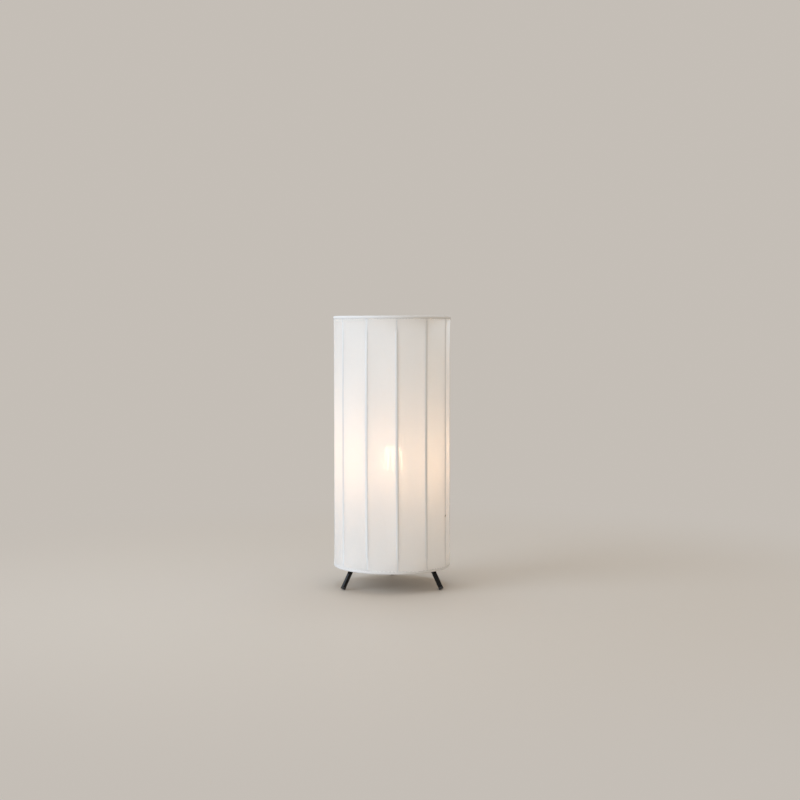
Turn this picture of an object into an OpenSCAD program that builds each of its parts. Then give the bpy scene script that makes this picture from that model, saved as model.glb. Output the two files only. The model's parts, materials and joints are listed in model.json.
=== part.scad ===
// Fabric table lamp: twelve flat cotton panels stretched over a ribbed wire frame, a dished
// white steel base plate with three splayed black rod legs, a candle lampholder on a stem, and its bulb.
// The origin is on the table, under the middle of the lamp. +Z is up and -Y is the front.

/* [Shade] */
// Outside diameter over the hems
shade_d = 150; // [120:1:200]
// Height from hem to hem
shade_h = 320; // [240:1:420]
// Clear height between the table and the shade
shade_clear = 26; // [24:0.5:34]
// Turn of the first seam from the front, in degrees
seam_turn = 5; // [0:1:15]
// Thickness of a panel of cloth
cloth_t = 0.8; // [0.5:0.1:0.9]
// Thickness of the cloth rolled round a ring
hem_t = 0.7; // [0.5:0.1:0.9]
// Height over which a panel changes from round at a ring to flat
round_reach = 46; // [25:1:70]

/* [Wire frame] */
// Wire of the top and bottom rings
ring_wire_d = 2.8; // [2.6:0.1:3.4]
// Wire of the ribs
rib_wire_d = 2.2; // [1.8:0.1:2.4]
// Wire of the three carrier arms
arm_wire_d = 3; // [2.4:0.1:3.6]
// Height of the arms' welds above the lower edge of the shade
arm_weld_h = 12; // [10:0.5:20]
// Thickness of the carrier ring
carrier_t = 2; // [1.5:0.1:3]
// Width of the carrier ring's band
carrier_w = 4; // [3:0.1:5]

/* [Base plate] */
// Gap between the plate's rim and the lower hem
plate_gap = 1.8; // [1:0.1:4]
// Sheet thickness
plate_t = 1.5; // [1:0.1:2]
// Depth of the turned-down rim, over all
plate_rim_h = 5; // [4:0.5:6]
// Height of the rim's edge above the lower edge of the shade
plate_lift = 0.5; // [0:0.1:1.5]

/* [Legs] */
// Diameter of a leg rod
leg_d = 6; // [5:0.1:7]
// Distance of the feet's circle inside the edge of the shade
foot_inset = 2.5; // [1:0.5:10]
// Splay of a leg from the vertical, in degrees
leg_splay = 28; // [20:0.5:32]
// Diameter of a leg socket
socket_d = 13; // [11:0.1:15]
// Length of a leg socket above the plate, along the leg
socket_l = 13; // [9:0.5:16]
// Size across the flats of a leg's lock nut
leg_nut_af = 10; // [9:0.1:11]
// Thickness of a leg's lock nut
leg_nut_t = 4; // [3:0.1:5]
// Thickness of the glide under a leg
glide_t = 2.6; // [2:0.1:4]
// Stand-out of the glide round the rod
glide_lip = 0.2; // [0.1:0.05:0.5]
// Depth of the flat worn on the glide
glide_flat = 0.45; // [0.3:0.05:0.6]

/* [Stem] */
// Outside diameter of the threaded tube
tube_d = 10; // [9:0.1:11]
// Wall of the threaded tube
tube_wall = 1; // [0.8:0.1:1.5]
// Outside diameter of the sleeve over the tube
sleeve_d = 14; // [13:0.1:18]
// Height of the sleeve
sleeve_h = 50; // [44:1:70]
// Thickness of the lock nut under the plate
stem_nut_t = 3; // [2.5:0.1:3.2]
// Size across the flats of the lock nut
stem_nut_af = 14; // [13:0.1:17]
// Thickness of the toothed washer
washer_t = 1; // [0.6:0.1:1.4]
// Bore of the cord gland
cord_bore_d = 6.4; // [5:0.1:7.2]
// Length of the gland's bore
cord_bore_l = 5; // [4:0.5:6]

/* [Lampholder] */
// Diameter of the threaded skirt
skirt_d = 28; // [26:0.1:30]
// Height of the holder, over all
holder_h = 52; // [48:0.5:60]
// Height of the holder's cap
holder_cap_h = 18; // [16:0.5:20]
// Diameter of the flange that the carrier ring rests on
flange_d = 34; // [32:0.1:38]
// Thickness of the shade ring
shade_ring_h = 6.5; // [5:0.1:9]
// Wall of the shade ring
shade_ring_w = 4; // [3:0.1:5]

/* [Bulb] */
// Diameter of the bulb's thread
bulb_cap_d = 13.8; // [12:0.1:14]
// Widest diameter of the glass
glass_d = 35; // [30:0.5:38]
// Length of the bulb, over all
bulb_h = 100; // [92:0.5:110]
// Height of the metal cap's upper rim above the bulb's end contact
bulb_cap_h = 25; // [24:0.5:28]
// Share of the glass's height at which it is widest
glass_wide_at = 0.4; // [0.3:0.02:0.5]
// Height of the light sticks' lower ends above the neck of the glass
stick_lift = 18; // [16:0.5:22]
// Height over which the light sticks stand
stick_l = 31; // [26:0.5:34]
// Radius of the circle of their lower ends
stick_low_r = 10; // [8:0.1:11]
// Radius of the circle of their upper ends
stick_high_r = 4.5; // [3.5:0.1:6]
// Thickness of the glass
glass_t = 0.8; // [0.6:0.1:1.2]

/* [Hidden] */
$fn = 64;
RIBS = 12; // ribs, and panels between them
LEGS = 3; // legs, and carrier arms between them
step_a = 360 / RIBS;
fit_gap = 0.05; // radial clearance of a thread or a running fit
seat_gap = 0.1; // clearance of cloth over wire
loose_gap = 0.3; // clearance where pieces pass each other
eps = 0.5; // overrun of a cut

shade_r = shade_d / 2;
shade_z0 = shade_clear; // lower edge of the shade
shade_z1 = shade_clear + shade_h; // upper edge of the shade
hem_h = ring_wire_d + 2 * hem_t;
slot_w = ring_wire_d + 2 * seat_gap; // space in a hem for its ring
hem_w = slot_w + 2 * hem_t;
ring_r = shade_r - hem_w / 2; // radius of a ring's centre line
hem_in_r = shade_r - hem_w;
ring_z0 = shade_z0 + hem_t + seat_gap + ring_wire_d / 2;
ring_z1 = shade_z1 - hem_t - seat_gap - ring_wire_d / 2;
panel_out_r = shade_r - 0.2; // the panels lie a hair inside the hems
panel_in_r = panel_out_r - cloth_t; // inner face of the cloth at a seam
rib_r = panel_in_r - (rib_wire_d / 2 + seat_gap) / cos(step_a / 2);

foot_r = shade_r - foot_inset;
plate_r = hem_in_r - plate_gap;
plate_z0 = shade_z0 + plate_lift; // edge of the turned-down rim
plate_z1 = plate_z0 + plate_rim_h; // top of the plate

glide_r = leg_d / 2 + glide_lip;
leg_s0 = (glide_r * sin(leg_splay) - glide_flat) / cos(leg_splay); // end of the glide, along the leg
plate_s = plate_z1 / cos(leg_splay); // the plate's top, along the leg
socket_s = plate_s + socket_l;
glide_pin_d = leg_d / 2;
glide_pin_l = 5;

nut_z1 = plate_z1 - plate_t - washer_t;
nut_z0 = nut_z1 - stem_nut_t;
tube_thread = 4; // thread inside the gland
gland_z0 = nut_z0 - tube_thread - cord_bore_l;
gland_d = tube_d + 4;
holder_z0 = plate_z1 + sleeve_h;
holder_z1 = holder_z0 + holder_h;
tube_grip = 10; // thread inside the holder's cap
holder_cap_z1 = holder_z0 + holder_cap_h;
cap_neck_r = tube_d / 2 + 2.5; // the holder's cap, where it meets the sleeve
cap_slope_h = 5; // height over which it widens
set_screw_at = 3; // height of its set screw

flange_z1 = holder_cap_z1 + 7; // the carrier ring rests here
flange_t = 2;
carrier_in_r = skirt_d / 2 + fit_gap;
carrier_out_r = carrier_in_r + carrier_w;
carrier_z1 = flange_z1 + carrier_t;
shade_ring_z0 = carrier_z1 + loose_gap / 2;
shade_ring_out_r = carrier_in_r + shade_ring_w;

shell_in_r = bulb_cap_d / 2 + fit_gap;
shell_t = 0.4;
shell_out_r = shell_in_r + shell_t;
skirt_bore_r = shell_out_r + fit_gap;
rim_drop = 2; // the metal shell stops this far under the holder's rim
bulb_seat = 24; // depth of the bulb's contact under the holder's rim
bulb_z0 = holder_z1 - bulb_seat;
contact_gap = 0.1; // the bulb's contact over its spring
contact_z1 = bulb_z0 - contact_gap;
contact_t = 0.6;
core_z1 = contact_z1 - contact_t - 1.4; // the core, under the bowed contact
shell_z0 = core_z1 + 1;

tip_h = 1.8; // the bulb's end contact
bulb_cap_z0 = bulb_z0 + 6;
bulb_cap_z1 = bulb_z0 + bulb_cap_h;
glass_z0 = bulb_cap_z1 - 3; // the glass stands inside the cap's rim
glass_z1 = bulb_z0 + bulb_h;

function rib_angle(i) = -90 + seam_turn + (i - 1) * step_a;
function leg_angle(i) = 90 + (i - 1) * 360 / LEGS;
function polar(r, a) = [r * cos(a), r * sin(a)];
function mix(p, q, t) = p + (q - p) * t;
function bezier(p, t) = mix(mix(mix(p[0], p[1], t), mix(p[1], p[2], t), t),
    mix(mix(p[1], p[2], t), mix(p[2], p[3], t), t), t);
function two(i) = i < 10 ? str("0", i) : str(i);
function rib_name(i) = str("rib_", two(i));
function panel_name(i) = str("fabric_panel_", two(i));

// Stands its children on leg i: +Z runs up the leg from the table.
module on_leg(i) {
    rotate([0, 0, leg_angle(i)]) translate([foot_r, 0, 0]) rotate([0, -leg_splay, 0]) children();
}

// A round rod from one point to another.
module rod(p, q, d) {
    v = q - p;
    len = norm(v);
    translate(p) rotate([0, acos(v[2] / len), atan2(v[1], v[0])]) cylinder(h = len, d = d);
}

module tube(z0, z1, r_in, r_out) {
    rotate_extrude() translate([r_in, z0]) square([r_out - r_in, z1 - z0]);
}

module hex_nut(af, t, bore_r) {
    difference() {
        cylinder(h = t, d = af / cos(30), $fn = 6);
        translate([0, 0, -eps]) cylinder(h = t + 2 * eps, r = bore_r);
    }
}

module wire_ring(z) {
    translate([0, 0, z]) rotate_extrude($fn = 96) translate([ring_r, 0]) circle(d = ring_wire_d, $fn = 32);
}

module top_ring() {
    color("whitesmoke") wire_ring(ring_z1);
}

module bottom_ring() {
    color("whitesmoke") wire_ring(ring_z0);
}

// An upright wire, butted between the two rings.
module rib(i) {
    z0 = ring_z0 + ring_wire_d / 2;
    z1 = ring_z1 - ring_wire_d / 2;
    color("whitesmoke") translate([each polar(rib_r, rib_angle(i)), z0])
        cylinder(h = z1 - z0, d = rib_wire_d, $fn = 32);
}

// A slanting arm from every fourth rib to the carrier ring, cut to sit flat on both.
module carrier_arm(i) {
    a = rib_angle(1 + (i - 1) * RIBS / LEGS);
    weld_r = rib_r - rib_wire_d / 2;
    weld_z = shade_z0 + arm_weld_h;
    end_z = flange_z1 + carrier_t / 2;
    run = weld_r - carrier_out_r;
    rise = end_z - weld_z;
    over = arm_wire_d / run; // the rod runs past both seats before it is cut
    color("whitesmoke") rotate([0, 0, a]) difference() {
        rod([weld_r + over * run, 0, weld_z - over * rise],
            [carrier_out_r - over * run, 0, end_z + over * rise], arm_wire_d);
        translate([weld_r, -arm_wire_d, weld_z - 8 * arm_wire_d])
            cube([8 * arm_wire_d, 2 * arm_wire_d, 12 * arm_wire_d]);
        translate([0, 0, end_z - 8 * arm_wire_d]) cylinder(h = 12 * arm_wire_d, r = carrier_out_r);
        translate([-2 * carrier_out_r, -arm_wire_d, end_z + carrier_t / 2])
            cube([4 * carrier_out_r, 2 * arm_wire_d, 8 * arm_wire_d]);
    }
}

module carrier_ring() {
    color("whitesmoke") tube(flange_z1, carrier_z1, carrier_in_r, carrier_out_r);
}

// How round a panel is at height z: 1 at the rings, 0 where it is flat.
function roundness(z) = let (d = min(z - shade_z0, shade_z1 - z) - hem_h)
    d >= round_reach ? 0 : pow(1 - d / round_reach, 2);
// A point of the panel after rib i: u runs from seam to seam, and out is 0 inside and 1 outside.
function panel_point(i, u, z, out) =
    let (a = rib_angle(i),
         flat_p = mix(polar(panel_in_r, a), polar(panel_in_r, a + step_a), u),
         round_p = polar(panel_in_r, a + u * step_a),
         p = mix(flat_p, round_p, roundness(z)),
         r = norm(p) + out * cloth_t,
         b = atan2(p[1], p[0]))
    [r * cos(b), r * sin(b), z];

// A panel of cloth between two ribs, round at the rings and drawn flat between them.
module fabric_panel(i) {
    across = 6;
    ends = [0, 0.1, 0.22, 0.36, 0.52, 0.72, 1];
    z0 = shade_z0 + hem_h;
    z1 = shade_z1 - hem_h;
    low = [for (t = ends) z0 + t * round_reach];
    high = [for (k = [len(ends) - 1:-1:0]) z1 - ends[k] * round_reach];
    rows = concat(low, high);
    n = len(rows);
    w = across + 1;
    points = [for (out = [0, 1]) for (z = rows) for (k = [0:across]) panel_point(i, k / across, z, out)];
    function at(out, row, k) = (out * n + row) * w + k;
    skins = [for (row = [0:n - 2]) for (k = [0:across - 1]) each [
        [at(1, row, k), at(1, row + 1, k), at(1, row + 1, k + 1)],
        [at(1, row, k), at(1, row + 1, k + 1), at(1, row, k + 1)],
        [at(0, row, k), at(0, row + 1, k + 1), at(0, row + 1, k)],
        [at(0, row, k), at(0, row, k + 1), at(0, row + 1, k + 1)]]];
    sides = [for (row = [0:n - 2]) each [
        [at(0, row, 0), at(0, row + 1, 0), at(1, row + 1, 0)],
        [at(0, row, 0), at(1, row + 1, 0), at(1, row, 0)],
        [at(0, row, across), at(1, row + 1, across), at(0, row + 1, across)],
        [at(0, row, across), at(1, row, across), at(1, row + 1, across)]]];
    ends_faces = [for (k = [0:across - 1]) each [
        [at(0, 0, k), at(1, 0, k), at(1, 0, k + 1)],
        [at(0, 0, k), at(1, 0, k + 1), at(0, 0, k + 1)],
        [at(0, n - 1, k), at(1, n - 1, k + 1), at(1, n - 1, k)],
        [at(0, n - 1, k), at(0, n - 1, k + 1), at(1, n - 1, k + 1)]]];
    color("ivory") polyhedron(points, concat(skins, sides, ends_faces));
}

// Half of a hem's section: cloth rolled over the ring, open towards the panels.
module hem_section() {
    mouth = hem_h - hem_t - seat_gap - ring_wire_d / 2;
    difference() {
        union() {
            circle(r = hem_w / 2, $fn = 48);
            translate([-hem_w / 2, -mouth]) square([hem_w, mouth]);
        }
        circle(d = slot_w, $fn = 48);
        translate([-slot_w / 2, -mouth - eps]) square([slot_w, mouth + eps]);
    }
}

module top_hem() {
    color("ivory") rotate_extrude($fn = 96) translate([ring_r, shade_z1 - hem_w / 2]) hem_section();
}

module bottom_hem() {
    color("ivory") rotate_extrude($fn = 96) translate([ring_r, shade_z0 + hem_w / 2])
        mirror([0, 1]) hem_section();
}

// The threaded ring that holds the carrier ring down on the holder, with finger grips.
module shade_ring() {
    grips = 16;
    grip_r = 2;
    color("black") difference() {
        tube(shade_ring_z0, shade_ring_z0 + shade_ring_h, carrier_in_r, shade_ring_out_r);
        for (k = [0:grips - 1]) rotate([0, 0, k * 360 / grips])
            translate([shade_ring_out_r + 0.6 * grip_r, 0, shade_ring_z0 + 1.5])
                cylinder(h = shade_ring_h, r = grip_r, $fn = 24);
    }
}

// A pressed steel dish, turned down at its rim with a rounded corner.
module base_plate() {
    bend = 2.5;
    color("whitesmoke") difference() {
        rotate_extrude($fn = 96) difference() {
            union() {
                translate([0, plate_z0]) square([plate_r, plate_rim_h - bend]);
                translate([0, plate_z0]) square([plate_r - bend, plate_rim_h]);
                translate([plate_r - bend, plate_z1 - bend]) circle(r = bend, $fn = 48);
            }
            translate([0, plate_z0 - eps]) square([plate_r - plate_t, plate_rim_h - bend + eps]);
            translate([0, plate_z0 - eps]) square([plate_r - bend, plate_rim_h - plate_t + eps]);
            translate([plate_r - bend, plate_z1 - bend]) circle(r = bend - plate_t, $fn = 48);
            translate([-2 * plate_r, plate_z0 - eps]) square([2 * plate_r, plate_rim_h + 2 * eps]);
        }
        translate([0, 0, plate_z0 - eps]) cylinder(h = plate_rim_h + 2 * eps, r = tube_d / 2 + fit_gap);
        for (i = [1:LEGS]) on_leg(i)
            translate([0, 0, plate_s - 8]) cylinder(h = 16, r = leg_d / 2 + fit_gap);
    }
}

// Three turned sockets, cut square to the plate and welded down on it.
module leg_sockets() {
    color("whitesmoke") for (i = [1:LEGS]) difference() {
        on_leg(i) translate([0, 0, plate_s - socket_d]) cylinder(h = socket_l + socket_d, d = socket_d);
        on_leg(i) translate([0, 0, plate_s - 2 * socket_d])
            cylinder(h = socket_l + 4 * socket_d, r = leg_d / 2 + fit_gap);
        translate([-shade_r, -shade_r, plate_z1 - shade_d]) cube([shade_d, shade_d, shade_d]);
    }
}

module leg_lock_nuts() {
    color("silver") for (i = [1:LEGS]) on_leg(i) translate([0, 0, socket_s])
        hex_nut(leg_nut_af, leg_nut_t, leg_d / 2 + fit_gap);
}

// A straight steel rod, threaded into its socket, with a blind hole for the glide's pin.
module leg(i) {
    s0 = leg_s0 + glide_t;
    s1 = socket_s + leg_nut_t + 2.5;
    lead = 0.8;
    color([0.08, 0.08, 0.08]) on_leg(i) difference() {
        union() {
            translate([0, 0, s0]) cylinder(h = s1 - lead - s0, d = leg_d);
            translate([0, 0, s1 - lead]) cylinder(h = lead, d1 = leg_d, d2 = leg_d - 2 * lead);
        }
        translate([0, 0, s0 - eps]) cylinder(h = glide_pin_l + 2 * eps, r = glide_pin_d / 2 + fit_gap);
    }
}

// A push-in glide, its lowest edge worn flat where the leg stands.
module leg_glide(i) {
    color([0.12, 0.12, 0.12]) difference() {
        on_leg(i) {
            translate([0, 0, leg_s0]) cylinder(h = glide_t, r = glide_r);
            translate([0, 0, leg_s0 + glide_t]) cylinder(h = glide_pin_l, d = glide_pin_d);
        }
        translate([-shade_r, -shade_r, -shade_d]) cube([shade_d, shade_d, shade_d]);
    }
}

module stem_tube() {
    color("silver") tube(nut_z0 - tube_thread, holder_z0 + tube_grip, tube_d / 2 - tube_wall, tube_d / 2);
}

module stem_sleeve() {
    color("whitesmoke") tube(plate_z1, holder_z0, tube_d / 2 + fit_gap, sleeve_d / 2);
}

// A lock washer with outside teeth.
module stem_washer() {
    teeth = 12;
    out_r = stem_nut_af / 2 + 1.5;
    color("silver") difference() {
        tube(nut_z1, plate_z1 - plate_t, tube_d / 2 + fit_gap, out_r);
        for (k = [0:teeth - 1]) rotate([0, 0, k * 360 / teeth])
            translate([out_r, -0.8, nut_z1 - eps]) rotate([0, 0, 45]) cube([1.1, 1.1, washer_t + 2 * eps]);
    }
}

module stem_nut() {
    color("silver") translate([0, 0, nut_z0]) hex_nut(stem_nut_af, stem_nut_t, tube_d / 2 + fit_gap);
}

// The cord's inlet: a moulded gland screwed on the end of the threaded tube.
module cord_gland() {
    bore_z1 = gland_z0 + cord_bore_l;
    lip = 1.5;
    color([0.12, 0.12, 0.12]) difference() {
        union() {
            translate([0, 0, gland_z0 + lip]) cylinder(h = nut_z0 - gland_z0 - lip, d = gland_d);
            translate([0, 0, gland_z0]) cylinder(h = lip, d1 = gland_d - 2 * lip, d2 = gland_d);
        }
        translate([0, 0, gland_z0 - eps]) cylinder(h = cord_bore_l + 2 * eps, d = cord_bore_d);
        translate([0, 0, bore_z1]) cylinder(h = tube_thread + eps, r = tube_d / 2 + fit_gap);
    }
}

// The lower half of the lampholder, screwed on the tube.
module holder_cap() {
    wall = 1.6;
    cap_r = skirt_d / 2;
    bore_r = tube_d / 2 + fit_gap;
    boss_z1 = holder_z0 + tube_grip - 2;
    color([0.1, 0.1, 0.1]) difference() {
        rotate_extrude() polygon([
            [bore_r, holder_z0], [cap_neck_r, holder_z0], [cap_r, holder_z0 + cap_slope_h],
            [cap_r, holder_cap_z1], [cap_r - wall, holder_cap_z1],
            [cap_r - wall, holder_z0 + cap_slope_h + 1], [cap_neck_r, boss_z1], [bore_r, boss_z1]]);
        translate([0, 0, holder_z0 + set_screw_at]) rotate([0, 90, 0])
            cylinder(h = cap_r + eps, r = 1.5 + fit_gap, $fn = 24);
    }
}

// The set screw that locks the cap on the tube, its end just under the cap's face.
module cap_set_screw() {
    face_r = mix(cap_neck_r, skirt_d / 2, set_screw_at / cap_slope_h);
    length = face_r - 0.4 - tube_d / 2;
    color("silver") translate([tube_d / 2, 0, holder_z0 + set_screw_at]) rotate([0, 90, 0]) difference() {
        cylinder(h = length, r = 1.5, $fn = 24);
        translate([-0.3, -2, length - 0.8]) cube([0.6, 4, 2]);
    }
}

// The upper half: the threaded skirt round the bulb's cap, with the flange for the carrier ring.
module holder_skirt() {
    wall_r = skirt_d / 2 - 1.8;
    lead = 1;
    color([0.1, 0.1, 0.1]) rotate_extrude() polygon([
        [wall_r, holder_cap_z1], [skirt_d / 2, holder_cap_z1], [skirt_d / 2, flange_z1 - flange_t - 2],
        [flange_d / 2, flange_z1 - flange_t], [flange_d / 2, flange_z1], [skirt_d / 2, flange_z1],
        [skirt_d / 2, holder_z1 - lead], [skirt_d / 2 - lead, holder_z1],
        [skirt_bore_r + lead / 2, holder_z1], [skirt_bore_r, holder_z1 - lead / 2],
        [skirt_bore_r, shell_z0], [wall_r, shell_z0]]);
}

// The moulded core that carries the contacts and terminals, seated in the cap.
module holder_core() {
    core_r = skirt_d / 2 - 1.8 - fit_gap;
    color("linen") difference() {
        union() {
            translate([0, 0, holder_z0 + tube_grip + 1])
                cylinder(h = core_z1 - holder_z0 - tube_grip - 1, r = core_r - 1.4);
            translate([0, 0, holder_cap_z1]) cylinder(h = core_z1 - holder_cap_z1, r = core_r);
            translate([0, 0, core_z1]) cylinder(h = shell_z0 - core_z1, r = core_r);
        }
        translate([0, 0, core_z1]) cylinder(h = 4, r = shell_out_r);
        for (s = [-1, 1]) translate([s * 6.5, -6, holder_z0 + tube_grip])
            cylinder(h = 6, r = 1.5 + fit_gap, $fn = 24);
    }
}

module holder_shell() {
    color("gold") tube(shell_z0, holder_z1 - rim_drop, shell_in_r, shell_out_r);
}

// The bowed spring under the bulb's end contact, cut from an arc of strip.
module centre_contact() {
    rise = contact_z1 - contact_t - core_z1;
    half = 5;
    bow_r = (half * half + rise * rise) / (2 * rise);
    width = 3.2;
    color("gold") intersection() {
        translate([0, width / 2, core_z1 + rise - bow_r]) rotate([90, 0, 0])
            tube(0, width, bow_r, bow_r + contact_t);
        translate([-half, -width, core_z1]) cube([2 * half, 2 * width, 4]);
    }
}

// The strip that feeds the metal shell.
module side_contact() {
    color("gold") translate([-shell_out_r + 1.6, -2, core_z1]) cube([0.6, 4, shell_z0 - core_z1]);
}

// The two screws that clamp the wires, seen from below.
module terminal_screws() {
    color("silver") for (s = [-1, 1]) translate([s * 6.5, -6, holder_z0 + tube_grip]) difference() {
        union() {
            translate([0, 0, 1]) cylinder(h = 5, r = 1.5, $fn = 24);
            translate([0, 0, -0.8]) cylinder(h = 1.8, r = 2.6, $fn = 24);
        }
        translate([-3, -0.3, -0.8 - eps]) cube([6, 0.6, 0.8 + eps]);
    }
}

// The outline of the glass, drawn in by the given amount: [radius, height] from neck to tip.
function glass_outline(t, steps) =
    let (z0 = glass_z0, z1 = glass_z1 - t, wide = glass_d / 2 - t, neck = bulb_cap_d / 2 - 0.9 - t,
         zw = mix(z0, glass_z1, glass_wide_at),
         low = [[neck, z0], [neck, mix(z0, zw, 0.3)], [wide, mix(z0, zw, 0.5)], [wide, zw]],
         high = [[wide, zw], [wide, mix(zw, z1, 0.48)], [0.4 * wide, z1], [0, z1]])
    concat([for (k = [0:steps]) bezier(low, k / steps)], [for (k = [1:steps]) bezier(high, k / steps)]);

module bulb_glass() {
    steps = 9;
    outside = glass_outline(0, steps);
    inside = glass_outline(glass_t, steps);
    color("white", 0.3) rotate_extrude()
        polygon(concat(outside, [for (k = [2 * steps:-1:0]) inside[k]]));
}

// The threaded metal shell of the bulb.
module bulb_cap() {
    wall = 0.5;
    color("silver") rotate_extrude() polygon([
        [bulb_cap_d / 2 - 0.5 - wall, bulb_cap_z0], [bulb_cap_d / 2 - 0.5, bulb_cap_z0],
        [bulb_cap_d / 2, bulb_cap_z0 + 2], [bulb_cap_d / 2, bulb_cap_z1 - 2],
        [bulb_cap_d / 2 + 0.6, bulb_cap_z1], [bulb_cap_d / 2 + 0.6 - wall, bulb_cap_z1],
        [bulb_cap_d / 2 - wall, bulb_cap_z1 - 2], [bulb_cap_d / 2 - wall, bulb_cap_z0 + 2]]);
}

module bulb_insulator() {
    tip_r = 2.5;
    color("black") rotate_extrude() polygon([
        [0, bulb_z0 + tip_h], [tip_r, bulb_z0 + tip_h], [bulb_cap_d / 2 - 1.5, bulb_cap_z0],
        [bulb_cap_d / 2 - 1.1, bulb_cap_z0 + 2], [0, bulb_cap_z0 + 2]]);
}

module bulb_end_contact() {
    color("silver") translate([0, 0, bulb_z0]) cylinder(h = tip_h, r1 = 1.8, r2 = 2.4);
}

// The inside of the bulb: a glass post on a foot, and the cage of light sticks on its wires.
module bulb_filaments() {
    sticks = 4;
    turn = 20;
    post_d = 3;
    stick_d = 1.6;
    wire_d = 0.8;
    foot_z0 = bulb_cap_z0 + 2;
    foot_z1 = glass_z0 + 4;
    stick_z0 = glass_z0 + stick_lift;
    stick_z1 = stick_z0 + stick_l;
    color("lightyellow") {
        translate([0, 0, foot_z0]) cylinder(h = foot_z1 - foot_z0, r = bulb_cap_d / 2 - 1.9);
        translate([0, 0, foot_z1]) cylinder(h = stick_z1 - foot_z1 + wire_d, d = post_d);
        for (k = [0:sticks - 1]) rotate([0, 0, turn + k * 360 / sticks]) {
            rod([stick_low_r, 0, stick_z0], [stick_high_r, 0, stick_z1], stick_d, $fn = 16);
            rod([0, 0, stick_z0 - 4], [stick_low_r, 0, stick_z0 + wire_d], wire_d, $fn = 16);
            rod([0, 0, stick_z1 - wire_d], [stick_high_r, 0, stick_z1 - wire_d], wire_d, $fn = 16);
        }
    }
}

for (i = [1:RIBS]) rib(i);
for (i = [1:RIBS]) fabric_panel(i);
for (i = [1:LEGS]) carrier_arm(i);
for (i = [1:LEGS]) leg(i);
for (i = [1:LEGS]) leg_glide(i);
top_ring();
bottom_ring();
carrier_ring();
top_hem();
bottom_hem();
shade_ring();
base_plate();
leg_sockets();
leg_lock_nuts();
stem_tube();
stem_sleeve();
stem_washer();
stem_nut();
cord_gland();
holder_cap();
holder_skirt();
holder_core();
holder_shell();
centre_contact();
side_contact();
terminal_screws();
cap_set_screw();
bulb_glass();
bulb_cap();
bulb_insulator();
bulb_end_contact();
bulb_filaments();
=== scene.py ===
"""Fabric table lamp: the looks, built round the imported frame, in metres and in the frame's own axes."""
import json
import math
import random

import bmesh
import bpy
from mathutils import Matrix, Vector, noise


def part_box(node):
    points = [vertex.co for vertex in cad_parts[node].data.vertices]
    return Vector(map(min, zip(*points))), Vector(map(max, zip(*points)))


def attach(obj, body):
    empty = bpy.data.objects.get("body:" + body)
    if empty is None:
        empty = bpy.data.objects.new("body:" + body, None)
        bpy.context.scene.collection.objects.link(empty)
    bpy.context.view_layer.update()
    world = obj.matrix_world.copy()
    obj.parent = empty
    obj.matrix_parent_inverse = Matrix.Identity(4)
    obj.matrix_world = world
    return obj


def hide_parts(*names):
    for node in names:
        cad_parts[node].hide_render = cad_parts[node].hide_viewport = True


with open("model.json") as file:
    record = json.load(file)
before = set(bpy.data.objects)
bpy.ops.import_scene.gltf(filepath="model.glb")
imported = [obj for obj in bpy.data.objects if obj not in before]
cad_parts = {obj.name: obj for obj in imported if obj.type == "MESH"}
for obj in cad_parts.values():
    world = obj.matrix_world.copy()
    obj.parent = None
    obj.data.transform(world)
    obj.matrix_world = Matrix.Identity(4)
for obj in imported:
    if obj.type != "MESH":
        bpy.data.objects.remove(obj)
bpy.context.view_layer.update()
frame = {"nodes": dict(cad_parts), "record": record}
MM = 0.001
TAU = 2 * math.pi
RIBS = 12
ARMS = 3

# Camera, fitted to the outline of the lamp in the photograph
PHOTO_PX = 800
FOCAL_PX = 1383.0
SENSOR_MM = 36.0
CAMERA_AWAY = 1.770
CAMERA_HEIGHT = 0.332
CAMERA_PITCH = math.radians(3.02)
CAMERA_YAW = math.radians(0.329)

# Light
PALE = (0.555, 0.515, 0.47)
AMBIENT = (0.826, 0.705, 0.568)
LIT_SPOT = Vector((0, 0, 0.20))
WINDOW = {"place": (-1.90, -1.10, 0.80), "size": (1.6, 1.5), "watts": 42.2, "colour": (0.682, 0.830, 1.0)}
CEILING = {"place": (0, 0.3, 2.0), "size": (1.2, 1.2), "watts": 9.9, "colour": (0.333, 0.667, 1.0)}
GLOW = (1.0, 0.622, 0.366)
GLOW_STRENGTH = 49.45

# How far out the floor starts and ends to fade into the background: as the camera sees it, and for the light
# that it throws
FLOOR_HALF = 30
SEEN_FADE = (0.25, 0.85)
THROWN_FADE = (0.45, 1.5)

# Cloth
CLOTH_COLOUR = (0.875, 0.88, 0.885)
# The seams' cotton is painted darker than the panels': painted shade for each seam's crease and for its rib's
# shadow behind it
SEAM_SHADED_COLOUR = (0.745, 0.755, 0.77)
# The hems' cotton is painted darker than the panels' as well: painted shade on the rolled hems
HEM_SHADED_COLOUR = (0.70, 0.704, 0.708)
THREAD_END_COLOUR = (0.38, 0.37, 0.36)
THREAD_PITCH = 0.55 * MM
WAVE_PERIOD = 0.31416  # of a wave texture at scale 1


# Small helpers
def polar(radius, angle, z=0.0):
    return Vector((radius * math.cos(angle), radius * math.sin(angle), z))


def on_axis(z):
    return Vector((0, 0, z))


def outward(at):
    """Unit vectors at a place: away from the lamp's axis, and round it."""
    out = Vector((at.x, at.y, 0)).normalized()
    return out, Vector((-out.y, out.x, 0))


def middle(node):
    low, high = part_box(node)
    return (low + high) / 2


def smoothstep(t):
    t = min(max(t, 0.0), 1.0)
    return t * t * (3 - 2 * t)


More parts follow.
